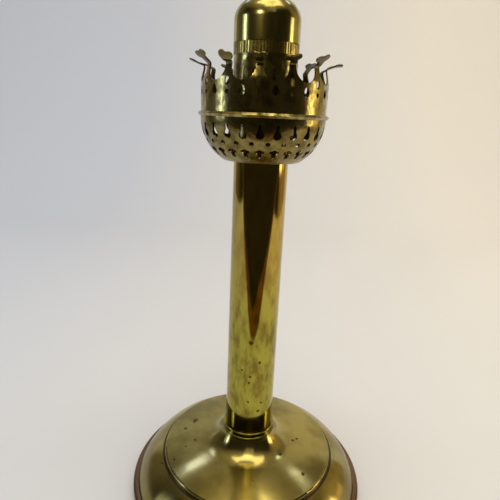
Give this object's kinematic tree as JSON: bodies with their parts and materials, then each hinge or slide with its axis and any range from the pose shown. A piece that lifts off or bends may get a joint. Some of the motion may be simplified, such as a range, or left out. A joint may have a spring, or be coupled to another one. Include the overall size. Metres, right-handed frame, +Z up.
{
  "type": "candle lamp",
  "caption": "Spring-fed table candle lamp in brass: weighted round foot, straight candle tube, pierced shade gallery with bent fingers, and a domed cap with a milled grip.",
  "frame": {"origin": "on the table under the lamp's axis", "axes": "+Z up along the tube, -Y towards the viewer"},
  "size_m": [0.1272, 0.1272, 0.2506],
  "materials": {
    "spun_brass": "satin, aged, spotted",
    "polished_brass": "polished",
    "gallery_brass": "pressed, aged",
    "cap_brass": "polished, aged",
    "turned_brass": "turned",
    "cast_iron": "rough casting",
    "plate_steel": "plain steel",
    "spring_steel": "drawn wire"
  },
  "bodies": {
    "stand": {"base_shell": "spun_brass", "base_weight": "cast_iron", "base_plate": "plate_steel", "neck_collar": "polished_brass", "column_tube": "polished_brass", "bayonet_pins": "turned_brass", "tube_plug": "turned_brass", "clamp_stud": "plate_steel", "clamp_washer": "plate_steel", "clamp_nut": "plate_steel", "gallery_stop_ring": "polished_brass"},
    "feed": {"follower_cup": "turned_brass", "feed_spring": "spring_steel"},
    "gallery": {"gallery_sleeve": "gallery_brass", "gallery_bowl": "gallery_brass", "seam_bead": "gallery_brass", "gallery_crown": "gallery_brass"},
    "cap": {"cap_shell": "cap_brass", "grip_ring": "cap_brass", "bayonet_liner": "turned_brass"}
  },
  "joints": [
    {"name": "candle_feed", "type": "slide", "parent": "stand", "child": "feed", "axis": [0, 0, 1], "range_m": [-0.13, 0], "stiffness_N_per_m": 40, "springref_m": 0.03, "deforming": ["feed_spring"]},
    {"name": "gallery_lift", "type": "slide", "parent": "stand", "child": "gallery", "axis": [0, 0, 1], "range_m": [0, 0.06]},
    {"name": "cap_twist", "type": "hinge", "parent": "gallery", "child": "cap", "pos_m": [0, 0, 0.2325], "axis": [0, 0, 1], "range_deg": [0, 30]}
  ]
}
